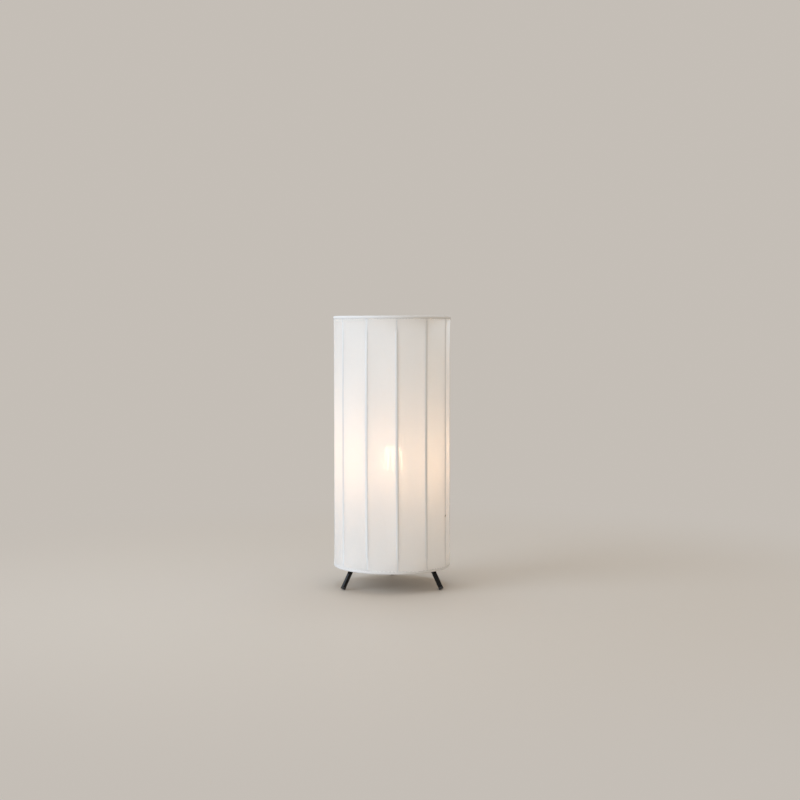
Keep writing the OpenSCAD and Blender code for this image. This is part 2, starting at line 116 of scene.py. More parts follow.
# Sizes read from the frame
HEM_TOP_LOW, HEM_TOP_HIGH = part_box("top_hem")
SHADE_R = HEM_TOP_HIGH.x
SHADE_Z0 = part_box("bottom_hem")[0].z
SHADE_Z1 = HEM_TOP_HIGH.z
HEM_H = HEM_TOP_HIGH.z - HEM_TOP_LOW.z
RIB_NODES = [f"rib_{i:02d}" for i in range(1, RIBS + 1)]
RIB_ANGLES = [math.atan2(p.y, p.x) for p in map(middle, RIB_NODES)]
SEAM_R = SHADE_R - 0.4 * MM
CLOTH_Z0 = SHADE_Z0 + 0.6 * HEM_H
CLOTH_Z1 = SHADE_Z1 - 0.6 * HEM_H


# Meshes
def add_object(mesh, material, smooth=True):
    """Puts a mesh into the scene, under its own name."""
    mesh.materials.append(material)
    mesh.polygons.foreach_set("use_smooth", [smooth] * len(mesh.polygons))
    mesh.update()
    obj = bpy.data.objects.new(mesh.name, mesh)
    bpy.context.scene.collection.objects.link(obj)
    return obj


def add_mesh(name, verts, faces, material, uvs=None, smooth=True):
    """A mesh object. uvs, if given, holds one pair for each corner of each face."""
    mesh = bpy.data.meshes.new(name)
    mesh.from_pydata([tuple(v) for v in verts], [], faces)
    if uvs:
        layer = mesh.uv_layers.new(name="UVMap")
        for k, uv in enumerate(uvs):
            layer.data[k].uv = uv
    return add_object(mesh, material, smooth)


def add_bmesh(name, bm, material, body):
    """A smooth mesh object from bm, which rides on a body."""
    mesh = bpy.data.meshes.new(name)
    bm.normal_update()
    bm.to_mesh(mesh)
    bm.free()
    obj = add_object(mesh, material)
    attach(obj, body)
    return obj


def grid_faces(rows, columns):
    """Quads of a grid of points held row by row, whose last column joins the first."""
    faces = []
    for r in range(rows - 1):
        for c in range(columns):
            d = (c + 1) % columns
            faces.append((r * columns + c, r * columns + d, (r + 1) * columns + d, (r + 1) * columns + c))
    return faces


def grid_uvs(across, up):
    """Texture places for the quads of a grid, in the order of grid_faces."""
    uvs = []
    for low, high in zip(up, up[1:]):
        for left, right in zip(across, across[1:]):
            uvs += [(left, low), (right, low), (right, high), (left, high)]
    return uvs


def ring_into(bm, at, side, other, radius, sides):
    """A ring of points about a place, in the plane of two unit vectors, added to bm."""
    turns = [TAU * k / sides for k in range(sides)]
    return [bm.verts.new(at + radius * (side * math.cos(t) + other * math.sin(t))) for t in turns]


def skin_into(bm, rings):
    """The skin over a row of rings, closed at both ends, added to bm."""
    sides = len(rings[0])
    for low, high in zip(rings, rings[1:]):
        for k in range(sides):
            m = (k + 1) % sides
            bm.faces.new((low[k], low[m], high[m], high[k]))
    bm.faces.new(list(reversed(rings[0])))
    bm.faces.new(rings[-1])


def capsule_into(bm, a, b, radius, sides):
    """A short thread from a to b, narrowed at both ends and added to bm."""
    axis = (b - a).normalized()
    side = axis.orthogonal().normalized()
    other = axis.cross(side)
    stations = ((0.0, 0.45), (0.2, 1.0), (0.8, 1.0), (1.0, 0.45))
    rings = [ring_into(bm, a.lerp(b, t), side, other, radius * shrink, sides) for t, shrink in stations]
    skin_into(bm, rings)


def tube_into(bm, points, radius, sides):
    """A round rod along points, closed at both ends and added to bm."""
    rings = []
    for k, at in enumerate(points):
        axis = (points[min(k + 1, len(points) - 1)] - points[max(k - 1, 0)]).normalized()
        side = axis.cross(Vector((0.0, 0.0, 1.0)))
        side = (side if side.length > 0.05 else axis.orthogonal()).normalized()
        rings.append(ring_into(bm, at, side, axis.cross(side), radius, sides))
    skin_into(bm, rings)


def lathe(name, profile, material, body, columns):
    """Turns a profile of (radius, height) points round the lamp's axis. Points at radius 0 close it."""
    verts, rings = [], []
    for radius, z in profile:
        if radius < 1e-6:
            rings.append([len(verts)])
            verts.append(on_axis(z))
        else:
            rings.append(list(range(len(verts), len(verts) + columns)))
            verts += [polar(radius, TAU * k / columns, z) for k in range(columns)]
    faces = []
    for low, high in zip(rings, rings[1:]):
        for k in range(columns):
            m = (k + 1) % columns
            if len(low) == 1:
                faces.append((low[0], high[m], high[k]))
            elif len(high) == 1:
                faces.append((low[k], low[m], high[0]))
            else:
                faces.append((low[k], low[m], high[m], high[k]))
    obj = add_mesh(name, verts, faces, material)
    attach(obj, body)
    return obj


# Materials
class Graph:
    """Short ways to add and link the nodes of one material, or of the world."""

    def __init__(self, owner):
        self.owner = owner
        owner.use_nodes = True
        self.tree = owner.node_tree
        self.tree.nodes.clear()

    def add(self, kind, **values):
        node = self.tree.nodes.new(kind)
        for key, value in values.items():
            if key in node.inputs:
                self.put(node.inputs[key], value)
            else:
                setattr(node, key, value)
        return node

    def put(self, socket, value):
        if isinstance(value, bpy.types.NodeSocket):
            self.tree.links.new(value, socket)
        elif hasattr(value, "__len__") and socket.type == "RGBA" and len(value) == 3:
            socket.default_value = (*value, 1.0)
        else:
            socket.default_value = value

    def place(self):
        return self.add("ShaderNodeTexCoord").outputs["Object"]

    def math(self, operation, a, b):
        node = self.add("ShaderNodeMath", operation=operation)
        self.put(node.inputs[0], a)
        self.put(node.inputs[1], b)
        return node.outputs[0]

    def blend(self, a, b, share):
        """share of a, and the rest of b."""
        return self.math("ADD", self.math("MULTIPLY", a, share), self.math("MULTIPLY", b, 1 - share))

    def noise(self, vector, scale, detail, rough=0.5):
        node = self.add("ShaderNodeTexNoise", Vector=vector, Scale=scale, Detail=detail, Roughness=rough)
        return node.outputs["Fac"]

    def stretch(self, vector, scale):
        node = self.add("ShaderNodeMapping", Vector=vector)
        node.inputs["Scale"].default_value = scale
        return node.outputs["Vector"]

    def between(self, fac, low, high):
        """fac from 0 to 1 becomes low to high, for numbers."""
        node = self.add("ShaderNodeMapRange")
        self.put(node.inputs["Value"], fac)
        node.inputs["To Min"].default_value = low
        node.inputs["To Max"].default_value = high
        return node.outputs["Result"]

    def mix_colour(self, fac, a, b):
        node = self.add("ShaderNodeMix", data_type="RGBA")
        self.put(node.inputs[0], fac)
        self.put(node.inputs[6], a)
        self.put(node.inputs[7], b)
        return node.outputs[2]

    def mix_shader(self, fac, a, b):
        node = self.add("ShaderNodeMixShader")
        self.put(node.inputs[0], fac)
        self.tree.links.new(a, node.inputs[1])
        self.tree.links.new(b, node.inputs[2])
        return node.outputs[0]

    def bump(self, height, distance, strength):
        node = self.add("ShaderNodeBump", Height=height, Distance=distance, Strength=strength)
        return node.outputs["Normal"]

    def surface(self, colour, roughness, normal=None):
        node = self.add("ShaderNodeBsdfPrincipled", **{"Base Color": colour, "Roughness": roughness})
        if normal:
            self.put(node.inputs["Normal"], normal)
        return node

    def finish(self, shader, output="ShaderNodeOutputMaterial"):
        self.tree.links.new(shader, self.add(output).inputs["Surface"])
        return self.owner


def material_graph(name):
    return Graph(bpy.data.materials.new(name))


def weave(g, uv):
    """Over-and-under threads and the thicker ones among them, each from 0 to 1, on coordinates in metres."""
    wave_scale = WAVE_PERIOD / THREAD_PITCH
    warp = g.add("ShaderNodeTexWave", Vector=uv, Scale=wave_scale, Distortion=0.0, bands_direction="X")
    weft = g.add("ShaderNodeTexWave", Vector=uv, Scale=wave_scale, Distortion=0.0, bands_direction="Y")
    threads = g.blend(warp.outputs["Fac"], weft.outputs["Fac"], 0.5)
    slub_warp = g.noise(g.stretch(uv, (1600, 70, 1)), 1.0, 2.0)
    slub_weft = g.noise(g.stretch(uv, (70, 1600, 1)), 1.0, 2.0)
    return threads, g.blend(slub_warp, slub_weft, 0.5)


def cotton(name, tint, translucent, forward):
    """Plain-woven cotton. translucent and forward: the shares of light let through, spread and straight."""
    g = material_graph(name)
    uv = g.add("ShaderNodeUVMap", uv_map="UVMap").outputs["UV"]
    threads, slubs = weave(g, uv)
    clouds = g.noise(g.stretch(uv, (18, 11, 1)), 1.0, 3.0)
    darker = tuple(0.93 * c for c in tint)
    lighter = tuple(min(1.0, 1.04 * c) for c in tint)
    colour = g.mix_colour(g.between(g.blend(slubs, clouds, 0.7), -0.4, 1.4), darker, lighter)
    height = g.math("ADD", threads, g.math("MULTIPLY", slubs, 1.2))
    face = g.surface(colour, 0.92, g.bump(height, 0.05 * MM, 0.5))
    face.inputs["Specular IOR Level"].default_value = 0.25
    face.inputs["Sheen Weight"].default_value = 0.15
    face.inputs["Sheen Roughness"].default_value = 0.5
    through = g.add("ShaderNodeBsdfTranslucent", Color=(0.97, 0.96, 0.935))
    share = g.between(g.blend(slubs, clouds, 0.5), translucent * 1.18, translucent * 0.82)
    body = g.mix_shader(share, face.outputs[0], through.outputs[0])
    if forward:
        straight = g.add("ShaderNodeBsdfRefraction", Color=(0.84, 0.89, 1.0), Roughness=0.29, IOR=1.2)
        body = g.mix_shader(forward, body, straight.outputs[0])
    return g.finish(body)


def wire_paint():
    g = material_graph("white_powder_coat")
    place = g.place()
    grain = g.noise(place, 2600.0, 2.0)
    wear = g.noise(place, 90.0, 4.0)
    colour = g.mix_colour(wear, (0.78, 0.77, 0.74), (0.86, 0.855, 0.83))
    return g.finish(g.surface(colour, g.between(grain, 0.38, 0.55), g.bump(grain, 0.03 * MM, 0.5)).outputs[0])


def black_lacquer():
    g = material_graph("black_lacquer")
    place = g.place()
    peel = g.noise(place, 900.0, 2.0)
    dust = g.noise(place, 160.0, 5.0, 0.7)
    colour = g.mix_colour(g.between(dust, -0.6, 1.2), (0.0015, 0.0015, 0.0015), (0.005, 0.0049, 0.0047))
    face = g.surface(colour, g.between(dust, 0.05, 0.12), g.bump(peel, 0.02 * MM, 0.25))
    face.inputs["Specular IOR Level"].default_value = 0.26
    return g.finish(face.outputs[0])


def black_moulding():
    g = material_graph("black_moulding")
    place = g.place()
    grain = g.noise(place, 3200.0, 3.0)
    flow = g.noise(g.stretch(place, (60, 60, 12)), 1.0, 3.0)
    colour = g.mix_colour(flow, (0.014, 0.014, 0.015), (0.024, 0.024, 0.025))
    return g.finish(g.surface(colour, g.between(grain, 0.42, 0.6), g.bump(grain, 0.04 * MM, 0.5)).outputs[0])


def black_rubber():
    g = material_graph("black_rubber")
    place = g.place()
    grain = g.noise(place, 2400.0, 3.0)
    scuff = g.noise(g.stretch(place, (1, 1, 4)), 500.0, 4.0)
    colour = g.mix_colour(scuff, (0.012, 0.012, 0.012), (0.035, 0.034, 0.033))
    return g.finish(g.surface(colour, g.between(scuff, 0.6, 0.85), g.bump(grain, 0.04 * MM, 0.6)).outputs[0])


def plated(name, low, high, rough_low, rough_high):
    """Plated metal, with a fine turned grain and cloudy passivation."""
    g = material_graph(name)
    place = g.place()
    lines = g.noise(g.stretch(place, (60, 60, 4000)), 1.0, 2.0)
    clouds = g.noise(place, 260.0, 4.0, 0.6)
    colour = g.mix_colour(clouds, low, high)
    face = g.surface(colour, g.between(clouds, rough_low, rough_high), g.bump(lines, 0.01 * MM, 0.4))
    face.inputs["Metallic"].default_value = 1.0
    return g.finish(face.outputs[0])


def pale_ceramic():
    g = material_graph("pale_ceramic")
    specks = g.noise(g.place(), 1400.0, 4.0, 0.6)
    colour = g.mix_colour(specks, (0.78, 0.75, 0.68), (0.87, 0.85, 0.79))
    normal = g.bump(specks, 0.03 * MM, 0.5)
    return g.finish(g.surface(colour, g.between(specks, 0.55, 0.75), normal).outputs[0])


def insulating_glass():
    g = material_graph("insulating_glass")
    swirl = g.noise(g.place(), 400.0, 3.0)
    colour = g.mix_colour(swirl, (0.008, 0.008, 0.01), (0.02, 0.02, 0.024))
    return g.finish(g.surface(colour, g.between(swirl, 0.12, 0.25)).outputs[0])


def clear_glass():
    """Thin clear glass that lets light straight through and mirrors at its edges."""
    g = material_graph("clear_glass")
    waves = g.noise(g.stretch(g.place(), (90, 90, 30)), 1.0, 2.0)
    normal = g.bump(waves, 0.08 * MM, 0.3)
    open_way = g.add("ShaderNodeBsdfTransparent", Color=(0.985, 0.975, 0.955))
    mirror = g.add("ShaderNodeBsdfGlossy", Color=(1.0, 1.0, 1.0), Roughness=0.04, Normal=normal)
    edge = g.add("ShaderNodeFresnel", IOR=1.45, Normal=normal)
    share = g.between(edge.outputs["Fac"], 0.03, 0.75)
    return g.finish(g.mix_shader(share, open_way.outputs[0], mirror.outputs[0]))


def phosphor():
    """The coating of a lit light stick, a little brighter over each of its row of chips."""
    g = material_graph("phosphor")
    beads = g.noise(g.place(), 700.0, 2.0)
    colour = g.mix_colour(beads, (0.9, 0.62, 0.2), (0.95, 0.75, 0.32))
    face = g.surface(colour, g.between(beads, 0.4, 0.6))
    g.put(face.inputs["Emission Color"], GLOW)
    g.put(face.inputs["Emission Strength"], g.between(beads, 0.7 * GLOW_STRENGTH, 1.3 * GLOW_STRENGTH))
    return g.finish(face.outputs[0])


def pale_floor():
    """The studio floor: it takes the object's shadow near the middle and fades to the background far out.

    It fades sooner for the camera than for the light it throws, so the window's glare stays out of view.
    """
    g = material_graph("pale_floor")
    place = g.place()
    away = g.add("ShaderNodeVectorMath", operation="LENGTH")
    g.put(away.inputs[0], place)
    fade = g.add("ShaderNodeMapRange", interpolation_type="SMOOTHSTEP")
    g.put(fade.inputs["Value"], away.outputs["Value"])
    seen = g.add("ShaderNodeLightPath").outputs["Is Camera Ray"]
    g.put(fade.inputs["From Min"], g.between(seen, THROWN_FADE[0], SEEN_FADE[0]))
    g.put(fade.inputs["From Max"], g.between(seen, THROWN_FADE[1], SEEN_FADE[1]))
    near = g.surface(g.mix_colour(g.noise(place, 60.0, 4.0), tuple(0.985 * c for c in PALE), PALE), 0.55)
    near.inputs["Specular IOR Level"].default_value = 0.15
    far = g.add("ShaderNodeEmission", Color=PALE, Strength=1.0)
    return g.finish(g.mix_shader(fade.outputs["Result"], near.outputs[0], far.outputs[0]))


def make_materials():
    return {
        "cotton": cotton("cotton_panels", CLOTH_COLOUR, 0.50, 0.02),
        # painted shade: the seams and their stitches get a darker tint than the panels
        "seam": cotton("cotton_seams_painted_shade", SEAM_SHADED_COLOUR, 0.06, 0.0),
        "thread_end": cotton("cotton_thread_end", THREAD_END_COLOUR, 0.0, 0.0),
        # painted shade: the hems and their stitches get a darker tint than the panels
        "hem": cotton("cotton_hems_painted_shade", HEM_SHADED_COLOUR, 0.05, 0.0),
        "frame_wire": wire_paint(),
        "black_paint": black_lacquer(),
        "black_plastic": black_moulding(),
        "glide_rubber": black_rubber(),
        "zinc": plated("zinc_plate", (0.50, 0.51, 0.52), (0.66, 0.66, 0.64), 0.3, 0.5),
        "bulb_metal": plated("nickel_plate", (0.60, 0.58, 0.54), (0.72, 0.70, 0.66), 0.2, 0.32),
        "contact_brass": plated("brass_strip", (0.68, 0.48, 0.2), (0.8, 0.6, 0.3), 0.25, 0.4),
        "core_ceramic": pale_ceramic(),
        "bulb_insulator": insulating_glass(),
        "light_sticks": phosphor(),
        "bulb_glass": clear_glass(),
    }


def paint_nodes(materials):
    """Gives every CAD node that stays in view the finish of its slot. The white paint is the frame wire's."""
    slots = {row["node"]: row["material_slot"] for row in frame["record"]["subparts"]}
    for name, obj in frame["nodes"].items():
        obj.data.materials.clear()
        obj.data.materials.append(materials.get(slots[name], materials["frame_wire"]))


# Cloth cover
ROUND_REACH = 46 * MM
SET_BACK = 0.18 * MM
FLARE = 0.30 * MM
FLARE_REACH = 6 * MM
GROOVE_Z = SHADE_Z1 - 3.7 * MM
GROOVE_DEPTH = 0.45 * MM
GROOVE_WIDTH = 0.75 * MM
PUCKER = 0.10 * MM
PUCKER_REACH = 9 * MM
PUCKER_PITCH = 4.6 * MM
SLACK = 0.22 * MM
FINE_SLACK = 0.07 * MM
CREASE_DEPTH = 0.15 * MM
CREASE_REACH = 0.90 * MM
CREASE_START = 5 * MM
DRIFT = 0.4 * MM
random.seed(12)
SEAM_DRIFT = [[random.uniform(-DRIFT, DRIFT) for _ in range(3)] for _ in range(RIBS)]
# The seams that the photograph shows: millimetres sideways at the lower end, the middle and the upper end
SEEN_DRIFT = {10: (-0.7, -1.3, -0.9), 11: (0.6, -0.6, 0.1), 0: (0.5, -0.5, -0.9), 1: (0.8, -0.5, 0.1),
              2: (0.3, 0.1, -0.4)}
for seen_index, seen in SEEN_DRIFT.items():
    SEAM_DRIFT[seen_index] = [sideways * MM for sideways in seen]


def seam_drift(index, z):
    """How far the sewn seam wanders sideways from its rib at height z."""
    low, mid, high = SEAM_DRIFT[index % RIBS]
    t = (z - SHADE_Z0) / (SHADE_Z1 - SHADE_Z0)
    return low * (1 - t) + high * t + (mid - (low + high) / 2) * math.sin(math.pi * t)


def past_hem(z):
    """How far a height lies from the nearer hem."""
    return min(z - SHADE_Z0, SHADE_Z1 - z) - HEM_H


def roundness(z):
    """1 where the cover follows a ring, 0 where its panels are flat."""
    return min(1.0, max(0.0, 1 - past_hem(z) / ROUND_REACH) ** 2)


def flare(z):
    """How far the cover stands out to meet the hems, less its draw-in by the stitches under the top one."""
    out = FLARE * math.exp(-max(past_hem(z), 0.0) / FLARE_REACH)
    return out - GROOVE_DEPTH * math.exp(-((z - GROOVE_Z) / GROOVE_WIDTH) ** 2)


def pucker(along, z):
    """Small gathers where the cloth is drawn over a ring."""
    fade = math.exp(-max(past_hem(z), 0.0) / PUCKER_REACH)
    uneven = noise.noise(Vector((along * 40, z * 30, 3.0)))
    return PUCKER * fade * math.sin(along / PUCKER_PITCH * TAU + 2.5 * uneven)


def cover_point(index, u, z):
    """A point of the cover: u runs from 0 at seam index to 1 at the next seam."""
    panel = TAU * SEAM_R / RIBS
    a = RIB_ANGLES[index] + seam_drift(index, z) / SEAM_R
    b = RIB_ANGLES[index] + TAU / RIBS + seam_drift(index + 1, z) / SEAM_R
    flat = polar(SEAM_R, a).lerp(polar(SEAM_R, b), u)
    at = flat.lerp(polar(SEAM_R, a + (b - a) * u), roundness(z))
    hang = math.sin(math.pi * u)
    slack = SLACK * noise.noise(Vector((index * 7.3 + u * 1.4, z * 9, 1.7)))
    slack += FINE_SLACK * noise.noise(Vector((index * 3.1 + u * 4.0, z * 42, 8.1)))
    from_seam = min(u, 1 - u) * panel
    crease = CREASE_DEPTH * math.exp(-(from_seam / CREASE_REACH) ** 2)
    crease *= smoothstep(past_hem(z) / CREASE_START)
    gathers = pucker((index + u) * panel, z) * (0.4 + 0.6 * hang)
    radius = at.length - SET_BACK + flare(z) + hang * slack + gathers - crease
    return outward(at)[0] * radius + on_axis(z)


def cover_columns():
    """Places across a panel, from 0 to 1, closer together where it dips into the seams at its sides."""
    near = [0.0, 0.011, 0.022, 0.036, 0.054, 0.08]
    first, steps = 0.12, 12
    wide = [first + k / steps * (1 - 2 * first) for k in range(steps + 1)]
    return near + wide + [1 - u for u in reversed(near[1:])]


def cover_rows():
    """Heights of the cover's rows, closer together near the hems and in the groove under the top one."""
    count, fine_count = 84, 12
    groove_low = GROOVE_Z - 2 * MM
    rows = []
    for k in range(count):
        t = k / count
        rows.append(CLOTH_Z0 + (t - 0.10 * math.sin(TAU * t)) * (groove_low - CLOTH_Z0))
    return rows + [groove_low + k / fine_count * (CLOTH_Z1 - groove_low) for k in range(fine_count + 1)]


def build_cover(material):
    across = cover_columns()
    rows = cover_rows()
    verts = [cover_point(i, u, z) for z in rows for i in range(RIBS) for u in across]
    faces = grid_faces(len(rows), RIBS * len(across))
    panel = TAU * SEAM_R / RIBS
    places = [(i + u) * panel for i in range(RIBS) for u in across] + [RIBS * panel]
    cover = add_mesh("cotton_cover", verts, faces, material, grid_uvs(places, rows))
    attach(cover, "shade")
    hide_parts(*[f"fabric_panel_{i:02d}" for i in range(1, RIBS + 1)])
    return cover


# Seams
SEAM_WIDTH = 1.9 * MM
SEAM_RISE = 0.03 * MM
SEAM_ROWS = 110
FOLD_WIDTH = 3.6 * MM
FOLD_OUT = -0.06 * MM
FOLD_IN = -0.20 * MM
FOLD_ROUND = 0.1 * MM
SEAM_UV_STEP = 0.4 * MM
SEAM_UV_SHIFT = 40 * MM
STITCH_PITCH = 3.2 * MM
STITCH_R = 0.10 * MM
STITCH_HALF = 0.42 * SEAM_WIDTH
STITCH_LEAN = 0.5 * MM
STITCH_CROWN = 0.05 * MM
KNOT_SEAM = 2
KNOT_Z = SHADE_Z0 + 68 * MM
KNOT_REACH = 1.2 * MM
KNOT_R = 0.50 * MM
# Where the knot's two thread ends lie, outwards, sideways and up in millimetres, and their radii
THREAD_ENDS = (((0.16, -3.4, -0.9), 0.30 * MM), ((0.16, -0.6, -2.2), 0.20 * MM))


def seam_section():
    """Section of a sewn seam: (across, out) pairs, anticlockwise seen from above.

    A low line in the crease outside, and the panels' turned edges pressed flat inside, over the rib.
    """
    half, fold = SEAM_WIDTH / 2, FOLD_WIDTH / 2
    steps = 10
    turns = [math.pi * k / steps for k in range(steps + 1)]
    points = [(half * math.cos(a), SEAM_RISE * math.sin(a)) for a in turns]
    left = [(-half, FOLD_OUT), (-fold + FOLD_ROUND, FOLD_OUT), (-fold, (FOLD_OUT + FOLD_IN) / 2),
            (-fold + FOLD_ROUND, FOLD_IN)]
    return points + left + [(-across, out) for across, out in reversed(left)]


def build_seam(index, material):
    """The seam over one rib: both panels' edges turned in and sewn down together."""
    section = seam_section()
    n = len(section)
    length = SHADE_Z1 - SHADE_Z0 - 1.5 * HEM_H
    rows = [SHADE_Z0 + 0.75 * HEM_H + k / SEAM_ROWS * length for k in range(SEAM_ROWS + 1)]
    verts = []
    for z in rows:
        at = cover_point(index, 0.0, z)
        out, side = outward(at)
        swell = 1 + 0.10 * noise.noise(Vector((index * 5.0, z * 160, 0.5)))
        verts += [at + side * across * swell + out * (rise * swell) for across, rise in section]
    faces = grid_faces(len(rows), n)
    ends = [tuple(range(n - 1, -1, -1)), tuple(SEAM_ROWS * n + k for k in range(n))]
    uvs = grid_uvs([index * SEAM_UV_SHIFT + c * SEAM_UV_STEP for c in range(n + 1)], rows)
    uvs += [(verts[v].x, verts[v].y) for face in ends for v in face]
    seam = add_mesh(f"seam_{index + 1:02d}", verts, faces + ends, material, uvs)
    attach(seam, "shade")
    return seam


def build_seam_stitches(material):
    """Small slanted whip stitches that hold each seam down over its rib."""
    bm = bmesh.new()
    count = int((SHADE_Z1 - SHADE_Z0 - 2.6 * HEM_H) / STITCH_PITCH)
    for index in range(RIBS):
        for k in range(count):
            at = cover_point(index, 0.0, SHADE_Z0 + 1.3 * HEM_H + (k + 0.5) * STITCH_PITCH)
            out, side = outward(at)
            reach = side * STITCH_HALF + on_axis(STITCH_LEAN)
            foot = at + out * SEAM_RISE
            crown = foot + out * STITCH_CROWN
            capsule_into(bm, foot - reach, crown, STITCH_R, 5)
            capsule_into(bm, crown, foot + reach, STITCH_R, 5)
    return add_bmesh("seam_stitches", bm, material, "shade")


def build_knot(material):
    """The knot where a new thread begins in one seam, with its two short ends."""
    bm = bmesh.new()
    at = cover_point(KNOT_SEAM, 0.0, KNOT_Z)
    out, side = outward(at)
    up = on_axis(1)
    heart = at + (out * 0.35 - side * 0.4) * MM
    for k in range(3):
        turn = TAU * k / 3
        arm = (side * 0.6 * math.cos(turn) + up * math.sin(turn)) * KNOT_REACH
        capsule_into(bm, heart - arm, heart + arm + out * 0.12 * MM, KNOT_R, 8)
    for (outwards, sideways, upwards), radius in THREAD_ENDS:
        tip = at + (out * outwards + side * sideways + up * upwards) * MM
        capsule_into(bm, heart, tip, radius, 6)
    return add_bmesh("seam_knot", bm, material, "shade")


# Hems
HEM_W = 4.4 * MM
HEM_SKIN = 0.45 * MM
HEM_COLUMNS = 288
HEM_PULLS = 96
HEM_PULL_IN = 0.030
HEM_UNEVEN = 0.012
HEM_UV_STEP = 0.45 * MM
HEM_STITCHES = 120
HEM_STITCH_R = 0.13 * MM
HEM_STITCH_IN = 0.42 * MM
HEM_STITCH_RISE = 0.16 * MM
HEM_STITCH_LEAN = 0.010
ON_PANEL = 0.7 * MM
ON_ROLL = 0.9 * MM
# Millimetres in from the hem's face and up from the ring's centre, where the top hem ends in the groove
TOP_HEM_EDGE = [(0.75, -1.30), (0.62, -1.36), (0.40, -1.22), (0.16, -0.90), (0.04, -0.50)]
# Millimetres in from the hem's face and up from its upper edge, where the bottom hem runs out on the panels
BOTTOM_HEM_EDGE = [(0.55, 0.0), (0.42, 0.0), (0.30, -0.4), (0.14, -1.2), (0.04, -1.7)]


def hem_section(up):
    """Outline of a rolled hem about its ring: (out from the ring's circle, along +Z from its centre).

    The roll is squarer outside than inside. The top hem ends in the groove of its stitches, and the bottom
    one runs out flush with the panels.
    """
    half = HEM_W / 2
    steps = 28
    turns = [math.pi * k / steps for k in range(steps + 1)]
    roll = []
    for a in turns:
        power = 0.72 if a < math.pi / 2 else 1.0
        out = half * math.copysign(abs(math.cos(a)) ** power, math.cos(a))
        roll.append((out, half * up * math.sin(a) ** power))
    tail = HEM_H - half
    inside = half - HEM_SKIN
    back = [(inside * math.cos(a), up * inside * math.sin(a)) for a in reversed(turns)]
    if up > 0:
        edge = [(half - x * MM, z * MM) for x, z in TOP_HEM_EDGE]
    else:
        edge = [(half - x * MM, tail + z * MM) for x, z in BOTTOM_HEM_EDGE]
    return roll + [(-half, -up * tail), (-inside, -up * tail)] + back + edge


def build_hem(name, up, material):
    """A strip of cloth rolled round a ring, with the pull of its stitches all round."""
    section = hem_section(up)
    n = len(section)
    ring_z = SHADE_Z1 - HEM_W / 2 if up > 0 else SHADE_Z0 + HEM_W / 2
    ring_r = SHADE_R - HEM_W / 2
    step = TAU * ring_r / HEM_COLUMNS
    verts, faces, uvs = [], [], []
    for c in range(HEM_COLUMNS):
        a = TAU * c / HEM_COLUMNS
        pull = 0.5 + 0.5 * math.cos(HEM_PULLS * a)
        drift = noise.noise(Vector((math.cos(a) * 9, math.sin(a) * 9, up * 4.0)))
        squeeze = 1 - HEM_PULL_IN * pull ** 3 - HEM_UNEVEN * abs(drift)
        verts += [polar(ring_r + out * squeeze, a, ring_z + rise * squeeze) for out, rise in section]
        d = (c + 1) % HEM_COLUMNS
        for k in range(n):
            m = (k + 1) % n
            face = [c * n + k, c * n + m, d * n + m, d * n + k]
            places = [(c, k), (c, k + 1), (c + 1, k + 1), (c + 1, k)]
            faces.append(face[::up])
            uvs += [(x * step, y * HEM_UV_STEP) for x, y in places[::up]]
    hem = add_mesh(name + "_cloth", verts, faces, material, uvs)
    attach(hem, "shade")
    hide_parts(name)
    return hem


def build_hem_stitches(material):
    """A line of slanted stitches along each hem, where the roll is sewn to the panels."""
    bm = bmesh.new()
    radius = SHADE_R - HEM_STITCH_IN
    for up, edge in ((1, SHADE_Z1 - HEM_H), (-1, SHADE_Z0 + HEM_H)):
        for k in range(HEM_STITCHES):
            a = TAU * (k + 0.5) / HEM_STITCHES
            on_panel = polar(radius, a - HEM_STITCH_LEAN, edge - up * ON_PANEL)
            on_roll = polar(radius + HEM_STITCH_RISE, a + HEM_STITCH_LEAN, edge + up * ON_ROLL)
            capsule_into(bm, on_panel, on_roll, HEM_STITCH_R, 5)
    return add_bmesh("hem_stitches", bm, material, "shade")


# Welds of the carrier arms
RIB_WELD = (1.5 * MM, 2.0 * MM, 2.4 * MM)
RING_WELD = (1.2 * MM, 2.3 * MM, 0.9 * MM)


def blob_into(bm, at, axes, radii, seed):
    """A small uneven drop of weld metal about a place, added to bm. Its radii lie along three axes."""
    rings, sides = 9, 14
    loops = []
    for r in range(1, rings):
        tilt = math.pi * r / rings
        loop = []
        for k in range(sides):
            ball = polar(math.sin(tilt), TAU * k / sides, math.cos(tilt))
            ripple = 1 + 0.14 * noise.noise(ball * 2.3 + Vector((seed, 0, 0)))
            offset = sum((axis * c * radius for axis, c, radius in zip(axes, ball, radii)), Vector())
            loop.append(bm.verts.new(at + offset * ripple))
        loops.append(loop)
    skin_into(bm, loops[::-1])


def mean_point(points):
    return sum(points, Vector()) / len(points)


def build_welds(material):
    """Weld drops at both ends of each carrier arm: on its rib, and on the carrier ring."""
    bm = bmesh.new()
    near_end = 0.3 * MM
    for i in range(1, ARMS + 1):
        points = [v.co for v in frame["nodes"][f"carrier_arm_{i}"].data.vertices]
        spread = [p.xy.length for p in points]
        rib_end = mean_point([p for p, r in zip(points, spread) if r > max(spread) - near_end])
        ring_end = mean_point([p for p, r in zip(points, spread) if r < min(spread) + near_end])
        out, side = outward(rib_end)
        axes = (out, side, on_axis(1))
        blob_into(bm, rib_end, axes, RIB_WELD, i)
        ring_end.z = middle("carrier_ring").z
        blob_into(bm, ring_end + out * 0.5 * MM, axes, RING_WELD, i + 5)
    add_bmesh("arm_welds", bm, material, "shade")


# Thread round the lampholder
THREAD_RISE = 0.45 * MM
THREAD_SUNK = 0.2 * MM
THREAD_STEP = 2.5 * MM
THREAD_CREST = 0.56 * MM
THREAD_ROOT = 1.5 * MM


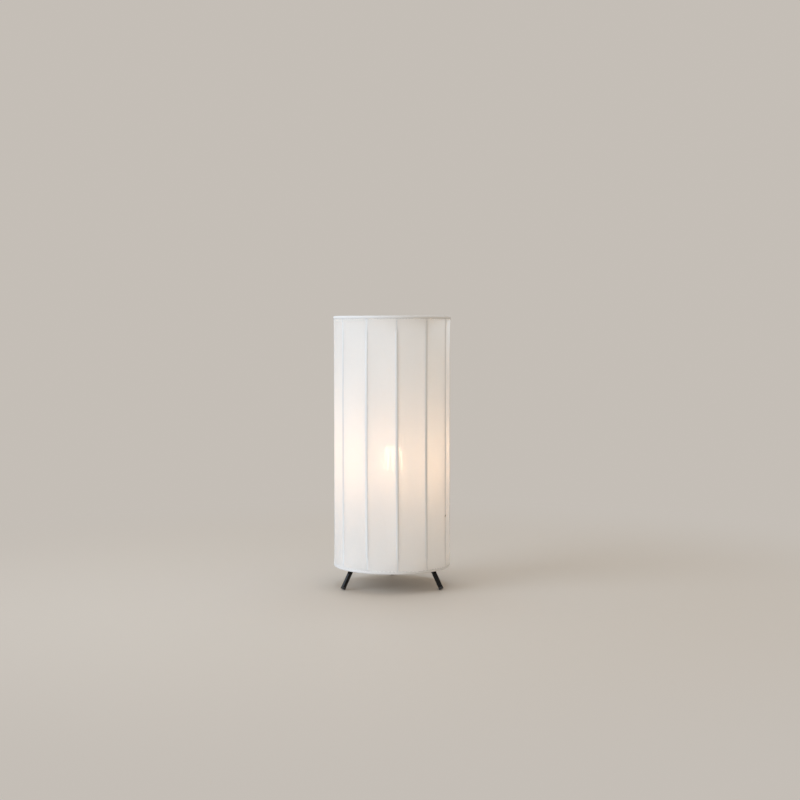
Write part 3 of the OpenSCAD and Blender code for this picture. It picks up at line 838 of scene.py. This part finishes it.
def build_holder_thread(material):
    """The coarse moulded thread round the lampholder's skirt, above the shade ring.

    It rises out of the skirt over the first sixth of a turn and sinks back over the last.
    """
    skirt = [v.co for v in frame["nodes"]["holder_skirt"].data.vertices]
    ring_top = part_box("shade_ring")[1].z
    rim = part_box("holder_skirt")[1].z
    radius = max(p.xy.length for p in skirt if ring_top < p.z < rim)
    start, end = ring_top + 1.1 * MM, rim - 2.2 * MM
    per_turn = 72
    count = int(per_turn * (end - start) / THREAD_STEP)
    section = [(-THREAD_SUNK, -THREAD_ROOT / 2), (THREAD_RISE, -THREAD_CREST / 2),
               (THREAD_RISE, THREAD_CREST / 2), (-THREAD_SUNK, THREAD_ROOT / 2)]
    verts = []
    for k in range(count + 1):
        lift = min(1.0, 6 * k / per_turn, 6 * (count - k) / per_turn)
        z = start + k / per_turn * THREAD_STEP
        for out, up in section:
            verts.append(polar(radius + (out if out < 0 else out * lift), TAU * k / per_turn, z + up))
    faces = grid_faces(count + 1, 4)
    faces += [(0, 1, 2, 3), tuple(4 * count + k for k in (3, 2, 1, 0))]
    thread = add_mesh("holder_thread", verts, faces, material, smooth=False)
    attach(thread, "base")


# Bulb
WIDEST_AT = 0.4
NECK_IN = 1.6 * MM
FOOT_IN = 2.5 * MM
FOOT_LIFT = 4 * MM
STICKS = 4
STICK_TURN = math.radians(20)
STICK_HIGH_R = 4.5 * MM
STICK_R = 0.8 * MM
STICK_LIFT = 18 * MM
WIRE_R = 0.22 * MM
WIRE_LAP = 0.5 * MM
MAST_R = 0.3 * MM
HUB_R = 1.2 * MM
HUB_DROP = 5 * MM


def bezier(p, t):
    a, b, c, d = (Vector(x) for x in p)
    return a * (1 - t) ** 3 + b * 3 * t * (1 - t) ** 2 + c * 3 * t * t * (1 - t) + d * t ** 3


def build_bulb_glass(material):
    """The candle-shaped glass: a neck, a belly at WIDEST_AT of its height, and a pointed top."""
    low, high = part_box("bulb_glass")
    wide = high.x
    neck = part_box("bulb_cap")[1].x - NECK_IN
    z0, z1 = low.z, high.z
    zw = z0 + WIDEST_AT * (z1 - z0)
    below = [(neck, z0), (neck, z0 + 0.3 * (zw - z0)), (wide, z0 + 0.5 * (zw - z0)), (wide, zw)]
    above = [(wide, zw), (wide, zw + 0.48 * (z1 - zw)), (0.4 * wide, z1), (0, z1)]
    profile = [(0, z0)]
    profile += [tuple(bezier(below, k / 24)) for k in range(25)]
    profile += [tuple(bezier(above, k / 30)) for k in range(1, 31)]
    glass = lathe("candle_glass", profile, material, "bulb", 96)
    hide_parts("bulb_glass")


def stick_ends():
    """The lower and upper end of each light stick."""
    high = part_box("bulb_filaments")[1]
    low_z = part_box("bulb_glass")[0].z + STICK_LIFT
    low_r = high.x / math.cos(STICK_TURN) - STICK_R
    turns = [TAU * k / STICKS + STICK_TURN for k in range(STICKS)]
    return [(polar(low_r, a, low_z), polar(STICK_HIGH_R, a, high.z - STICK_R)) for a in turns]


def build_sticks(material):
    """The leaning light sticks. Rings close to both ends keep the shading of the ends off the sides."""
    bm = bmesh.new()
    for a, b in stick_ends():
        tube_into(bm, [a.lerp(b, t) for t in (0.0, 0.03, 0.5, 0.97, 1.0)], STICK_R, 14)
    sticks = add_bmesh("light_sticks", bm, material, "bulb")
    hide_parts("bulb_filaments")


def build_wires(material):
    """Wires from the post to the foot of each stick, and from its top to the mast up the middle."""
    ends = stick_ends()
    low_z, high_z = ends[0][0].z, ends[0][1].z
    hub = on_axis(low_z - HUB_DROP)
    bm = bmesh.new()
    for a, b in ends:
        along = (b - a).normalized()
        bend = a.lerp(on_axis(low_z - 4 * MM), 0.55)
        foot = hub + outward(a)[0] * HUB_R
        tube_into(bm, [foot, bend, a - along * 1.2 * MM, a + along * WIRE_LAP], WIRE_R, 8)
        tube_into(bm, [b - along * WIRE_LAP, b + along * 1.5 * MM, on_axis(high_z + 2.6 * MM)], WIRE_R, 8)
    tube_into(bm, [on_axis(high_z + 3 * MM), on_axis(high_z + 1 * MM), hub], MAST_R, 8)
    wires = add_bmesh("stick_wires", bm, material, "bulb")
    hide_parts("bulb_filaments")


def build_post(material):
    """The glass foot in the bulb's neck, and its post, which ends in a bead where the wires leave it."""
    base_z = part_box("bulb_filaments")[0].z
    foot_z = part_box("bulb_glass")[0].z + FOOT_LIFT
    stick_z = stick_ends()[0][0].z
    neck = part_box("bulb_cap")[1].x - FOOT_IN
    profile = [(0, base_z), (neck, base_z), (neck, foot_z - 2 * MM), (0.75 * neck, foot_z + 0.5 * MM)]
    profile += [(r * MM, foot_z + z * MM) for r, z in ((3.2, 4), (2.4, 7))]
    profile += [(r * MM, stick_z + z * MM) for r, z in ((2.2, -6.5), (2.8, -5), (2.2, -4), (0, -3.6))]
    post = lathe("glass_post", profile, material, "bulb", 40)
    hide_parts("bulb_filaments")


# Camera, stage and light
def add_camera():
    data = bpy.data.cameras.new("camera")
    data.sensor_width = SENSOR_MM
    data.lens = SENSOR_MM * FOCAL_PX / PHOTO_PX
    data.clip_start = 0.01
    data.clip_end = 60
    camera = bpy.data.objects.new("camera", data)
    bpy.context.scene.collection.objects.link(camera)
    camera.location = (0, -CAMERA_AWAY, CAMERA_HEIGHT)
    camera.rotation_euler = (math.pi / 2 - CAMERA_PITCH, 0, -CAMERA_YAW)
    bpy.context.scene.camera = camera


def add_light(name, place, size, watts, colour):
    """A soft rectangular lamp that faces the object."""
    data = bpy.data.lights.new(name, "AREA")
    data.shape = "RECTANGLE"
    data.size, data.size_y = size
    data.energy = watts
    data.color = colour
    lamp = bpy.data.objects.new(name, data)
    bpy.context.scene.collection.objects.link(lamp)
    lamp.visible_camera = False
    lamp.location = place
    lamp.rotation_euler = (LIT_SPOT - Vector(place)).to_track_quat("-Z", "Y").to_euler()


def studio_world():
    """Even light from all round. The camera, gloss and glass see the pale background in its place."""
    g = Graph(bpy.data.worlds.new("studio"))
    light = g.add("ShaderNodeBackground", Color=AMBIENT)
    seen = g.add("ShaderNodeBackground", Color=PALE)
    path = g.add("ShaderNodeLightPath")
    either = g.math("MAXIMUM", path.outputs["Is Camera Ray"], path.outputs["Is Glossy Ray"])
    any_seen = g.math("MAXIMUM", either, path.outputs["Is Transmission Ray"])
    return g.finish(g.mix_shader(any_seen, light.outputs[0], seen.outputs[0]), "ShaderNodeOutputWorld")


def add_stage():
    corners = [(x * FLOOR_HALF, y * FLOOR_HALF, 0) for x, y in ((-1, -1), (1, -1), (1, 1), (-1, 1))]
    add_mesh("floor", corners, [(0, 1, 2, 3)], pale_floor())
    add_light("window", **WINDOW)
    add_light("ceiling", **CEILING)
    bpy.context.scene.world = studio_world()


# The lamp on its stage
add_camera()
materials = make_materials()
paint_nodes(materials)
cover = build_cover(materials["cotton"])
seams = [build_seam(i, materials["seam"]) for i in range(RIBS)]
stitches = build_seam_stitches(materials["seam"])
hems = [build_hem("top_hem", 1, materials["hem"]), build_hem("bottom_hem", -1, materials["hem"])]
hem_stitches = build_hem_stitches(materials["hem"])
knot = build_knot(materials["thread_end"])
build_welds(materials["frame_wire"])
build_holder_thread(materials["black_plastic"])
build_bulb_glass(materials["bulb_glass"])
build_sticks(materials["light_sticks"])
build_wires(materials["bulb_metal"])
build_post(materials["bulb_glass"])
add_stage()

bpy.context.scene.view_settings.view_transform = "Standard"
